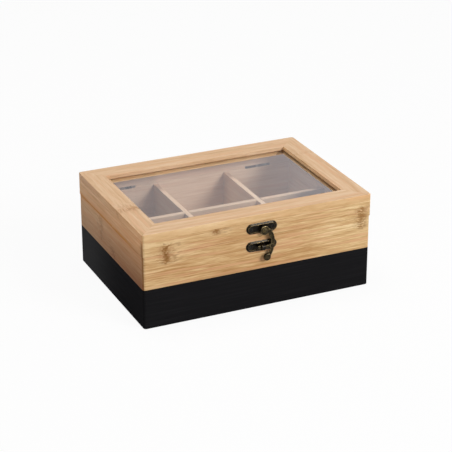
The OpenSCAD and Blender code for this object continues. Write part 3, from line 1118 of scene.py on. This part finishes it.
@dataclass
class LidFrame:
    """The mitred frame on top of the lid and its window.

    Attributes:
        wood: The bamboo of the frame, paler than the walls; on its top that paleness is partly
            painted sheen.
        bead_wood: The yellower bamboo of the strips under the pane.
        glass: The pane.
        bead_height: How far a strip reaches down.
        bead_slope: How far its top falls from the pane's edge to its inner corner.
        bead_chamfer: How far its lower inner corner is cut away.
        bead_eased: How far its edges are rounded.
        bead_gap: How far it lies below the pane.
    """

    wood: Bamboo = Bamboo(
        pale=(0.770, 0.560, 0.375),
        body=(0.680, 0.458, 0.280),
        deep=(0.530, 0.315, 0.160),
        blush=(0.690, 0.420, 0.250),
        ring=(0.380, 0.190, 0.085),
        strip=0.0215,
        contrast=0.70,
    )
    bead_wood: Bamboo = Bamboo(
        pale=(0.950, 0.740, 0.450),
        body=(0.900, 0.650, 0.350),
        deep=(0.780, 0.490, 0.220),
        blush=(0.880, 0.590, 0.300),
    )
    glass: WindowGlass = WindowGlass()
    bead_height: float = 0.0020
    bead_slope: float = 0.0010
    bead_chamfer: float = 0.0004
    bead_eased: float = 0.00015
    bead_gap: float = 0.0001

    def bead(
        self, name: str, ends: Sequence[tuple[Vector, Vector]], wood: Material
    ) -> None:
        """Make one of the four strips that hold the pane from below: mitred, with a sloping top.

        Args:
            name: The strip's name.
            ends: For each end, its inner corner under the pane and the way to its outer corner.
            wood: Its material.
        """
        low, sunk = Vector((0.0, 0.0, -self.bead_height)), Vector((0.0, 0.0, -self.bead_slope))
        cut = self.bead_chamfer
        points: list[Vector] = []
        for corner, out in ends:
            step = out.normalized() * cut * math.sqrt(2.0)
            points += [corner + sunk, corner + low * (1.0 - cut / self.bead_height)]
            points += [corner + step + low, corner + out + low, corner + out]
        count = len(points) // 2
        turns = [(i, (i + 1) % count) for i in range(count)]
        sides = [(i, j, count + j, count + i) for i, j in turns]
        caps = [tuple(reversed(range(count))), tuple(range(count, 2 * count))]
        mesh = bpy.data.meshes.new(name)
        mesh.from_pydata(points, [], sides + caps)
        work = bmesh.new()
        work.from_mesh(mesh)
        bmesh.ops.recalc_face_normals(work, faces=work.faces)
        work.to_mesh(mesh)
        work.free()
        mesh.materials.append(wood)
        strip = add(name, mesh)
        eased = strip.modifiers.new("eased edges", "BEVEL")
        eased.width, eased.segments, eased.limit_method = self.bead_eased, 2, "ANGLE"
        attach(strip, "lid")
        log.info("%s: %s", name, wood.name)

    def beads(self, woods: Mapping[str, Material]) -> None:
        """Make the four strips, from the frame's opening out to the pane's edges.

        Args:
            woods: The wood of each side, in turn from the front.
        """
        pane_low, pane_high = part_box("window_pane")
        level = pane_low[2] - self.bead_gap
        left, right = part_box("lid_left_stile")[1][0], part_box("lid_right_stile")[0][0]
        front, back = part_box("lid_front_rail")[1][1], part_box("lid_back_rail")[0][1]
        inner = corners((left, right), (front, back), level)
        outer = corners((pane_low[0], pane_high[0]), (pane_low[1], pane_high[1]), level)
        ends = [(near, far - near) for near, far in zip(inner, outer)]
        for i, (side, wood) in enumerate(woods.items()):
            self.bead(f"pane_bead_{side}", (ends[i], ends[(i + 1) % len(ends)]), wood)

    def build(self) -> None:
        """Dress the rails, the stiles and the pane, and make the strips that hold it."""
        front = self.wood.material(
            "bamboo front rail",
            Run.TOP_ACROSS,
            seed=3.7,
            shift=-0.0765,
            # The front rail's front face is toned yellower than its top, whose paleness is partly
            # painted sheen
            painted_light=PaintedLight(axis=1, warm=(0.98, 0.96, 0.82), back=-0.20, front=-0.19),
        )
        back = self.wood.material("bamboo back rail", Run.TOP_ACROSS, seed=12.6, shift=0.0550)
        left = self.wood.material(
            "bamboo left stile",
            Run.TOP_BACK,
            seed=21.5,
            shift=-0.1065,
            rings=(CaneNode(-0.0225, -0.1050, -0.0850, 0.65, 0.0050),),
            # Painted shade carried up from the left side onto the stile's outer face, warmer
            # towards the front
            painted_light=replace(
                Walls.left_painted_shade, warm=(1.15, 0.94, 0.73), back=0.12, top=0.0851, bottom=0.0480
            ),
        )
        right = self.wood.material(
            "bamboo right stile",
            Run.TOP_BACK,
            seed=34.8,
            shift=0.0850,
            rings=(CaneNode(0.0330, 0.0850, 0.1050, 0.22, 0.0030),),
            # Painted light: the right stile's inner face, which looks to the left, is much lighter
            painted_light=PaintedLight(warm=(1.46, 1.46, 1.28), back=0.080, front=0.075),
        )
        dress(front, "lid_front_rail")
        dress(back, "lid_back_rail")
        dress(left, "lid_left_stile")
        dress(right, "lid_right_stile")
        dress(self.glass.material("window glass"), "window_pane")
        along = self.bead_wood.material("bamboo bead along", Run.FRONT, seed=45.1)
        aside = self.bead_wood.material("bamboo bead aside", Run.SIDE, seed=57.7)
        self.beads({"front": along, "right": aside, "back": along, "left": aside})


@dataclass
class Hinges:
    """The two butt hinges with their pins and screws.

    Attributes:
        metal: The bronze of the leaves, with painted glints on their front faces.
        steel: The steel of the pins and the screws.
    """

    # Painted glints: whitish bright colour in patches on the leaves' front faces
    metal: AntiqueBronze = AntiqueBronze(
        brown=(0.060, 0.048, 0.032), bright=(0.640, 0.640, 0.620), lacquer=0.6, painted_glints=0.9
    )
    steel: ScrewSteel = ScrewSteel()

    def build(self) -> None:
        """Dress the leaves, the pins and the screws."""
        leaf = self.metal.material("hinge bronze")
        steel = self.steel.material("hinge steel")
        for side in ("left", "right"):
            dress(leaf, f"{side}_hinge_body_leaf", f"{side}_hinge_lid_leaf")
            dress(steel, f"{side}_hinge_pin")
        dress(steel, "hinge_body_screws", "hinge_lid_screws")


@dataclass
class Latch:
    """The swing latch: plates, rivet, arm and screws.

    Attributes:
        upper: The bronze of the plate on the lid.
        lower: The bronze of the plate on the body.
        arm: The bronze of the arm, with wider and brighter edges that are partly wear and partly
            painted highlights.
        rivet: The bronze of the rivet.
        screws: The steel of the screws.
    """

    upper: AntiqueBronze = AntiqueBronze(front=-0.075)
    lower: AntiqueBronze = AntiqueBronze(front=-0.0745)
    # Painted highlights: the arm's bright edges are wider and brighter, partly as wear
    arm: AntiqueBronze = AntiqueBronze(
        dark=(0.015, 0.011, 0.0055),
        brown=(0.050, 0.036, 0.015),
        bright=(0.860, 0.660, 0.340),
        front=-0.075,
        proud=0.0036,
        rim=0.00080,
    )
    rivet: AntiqueBronze = AntiqueBronze(
        dark=(0.024, 0.018, 0.008), brown=(0.088, 0.065, 0.027), front=-0.075, proud=0.0048
    )
    screws: ScrewSteel = ScrewSteel(tint=(0.014, 0.013, 0.012), worn=(0.075, 0.068, 0.058))

    def build(self) -> None:
        """Dress the latch."""
        dress(self.upper.material("plate bronze upper"), "latch_plate")
        dress(self.lower.material("plate bronze lower"), "keeper_plate")
        dress(self.arm.material("arm bronze"), "latch_arm")
        dress(self.rivet.material("rivet bronze"), "latch_rivet")
        dress(self.screws.material("latch screw steel"), "latch_screws", "keeper_screws")


# ---------------- studio


@dataclass(frozen=True)
class Lamp:
    """A soft box.

    Attributes:
        name: Its name.
        place: Where it stands.
        size: The length of its sides.
        share: The light that it gives a surface that faces it, where 1 renders a colour as written.
        tint: Its colour.
    """

    name: str
    place: Point
    size: float
    share: float
    tint: Colour = WHITE

    def build(self, aim: Vector) -> None:
        """Make the lamp.

        Args:
            aim: The point that it faces.
        """
        data = bpy.data.lights.new(self.name, "AREA")
        data.shape = "SQUARE"
        data.size = self.size
        data.color = self.tint
        way = aim - Vector(self.place)
        data.energy = self.share * math.pi**2 * way.length_squared
        lamp = add(self.name, data)
        lamp.location = self.place
        lamp.rotation_euler = way.to_track_quat("-Z", "Y").to_euler()
        log.info("%s lamp", self.name)


@dataclass
class Studio:
    """White floor, soft light and the camera.

    Attributes:
        lamps: The soft boxes.
        aim: The point that they face.
        ambient: The plain light from all around.
        card: Where the white card on the right begins and is full, and how much light it adds.
        floor_half: Half the floor's width.
        floor_drop: How far the floor lies below the box.
        floor_white: How much of the floor is plain white by eye; the rest shows the shadow.
        floor_grey: The floor's own colour.
        camera_place: Where the camera stands.
        azimuth: How far it is turned to the side.
        elevation: How far it looks down.
        lens: Its focal length, in millimetres.
        sensor: The width of its sensor, in millimetres.
        clip: The nearest and the farthest that it sees.
    """

    lamps: Sequence[Lamp] = (
        Lamp("key", (1.07, -1.91, 1.26), 1.0, 0.71, (1.0, 0.985, 0.965)),
        Lamp("overhead", (-0.25, 0.15, 2.00), 1.2, 0.53),
    )
    aim: Point = (0.0, 0.0, 0.05)
    ambient: float = 0.20
    card: Fade = (0.375, 0.450, 0.45)
    floor_half: float = 6.0
    floor_drop: float = 0.0002
    floor_white: float = 0.93
    floor_grey: Colour = (0.80, 0.80, 0.80)
    camera_place: Point = (-0.5469, -1.2088, 0.6333)
    azimuth: float = -24.47
    elevation: float = 23.94
    lens: float = 132.43
    sensor: float = 36.0
    clip: Span = (0.05, 40.0)

    def build(self) -> None:
        """Make the floor, the world, the lamps and the camera."""
        bpy.context.scene.view_settings.view_transform = "Standard"
        self.make_floor()
        self.make_world()
        for lamp in self.lamps:
            lamp.build(Vector(self.aim))
        self.make_camera()

    def make_floor(self) -> None:
        """Make the white floor, which keeps the box's shadow."""
        mesh = bpy.data.meshes.new("floor")
        span = (-self.floor_half, self.floor_half)
        mesh.from_pydata(corners(span, span), [], [(0, 1, 2, 3)])
        floor = add("floor", mesh)
        floor.location.z = -self.floor_drop
        tree = new_material("studio floor")
        matte = tree.node("ShaderNodeBsdfDiffuse", None, {"Color": self.floor_grey})
        glow = tree.node("ShaderNodeEmission", None, {"Color": WHITE, "Strength": 1.0})
        shown = tree.seen() * self.floor_white
        mesh.materials.append(tree.finish(tree.blend(shown, matte.outputs[0], glow.outputs[0])))

    def make_world(self) -> None:
        """Make a white world that lights the box plainly, with a white card at the side."""
        tree = Tree(bpy.data.worlds.new("studio"), "ShaderNodeOutputWorld")
        plain = tree.seen().onto(self.ambient, 1.0 - self.ambient)
        card = tree.coordinates("Generated")[0].fade(*self.card)
        inputs = {"Color": WHITE, "Strength": card * tree.ray("Glossy") + plain}
        back = tree.node("ShaderNodeBackground", None, inputs)
        bpy.context.scene.world = tree.finish(back.outputs[0])

    def make_camera(self) -> None:
        """Make the camera."""
        data = bpy.data.cameras.new("camera")
        data.lens = self.lens
        data.sensor_width = self.sensor
        data.clip_start, data.clip_end = self.clip
        camera = add("camera", data)
        camera.location = self.camera_place
        tilt, turn = math.radians(90.0 - self.elevation), math.radians(self.azimuth)
        camera.rotation_euler = (tilt, 0.0, turn)
        bpy.context.scene.camera = camera


def main() -> None:
    """Dress the box and build the studio."""
    logging.basicConfig(level=logging.INFO, format="%(name)s: %(message)s")
    Studio().build()
    for part in (Walls(), Boards(), LidFrame(), Hinges(), Latch()):
        part.build()


if __name__ == "__main__":
    main()
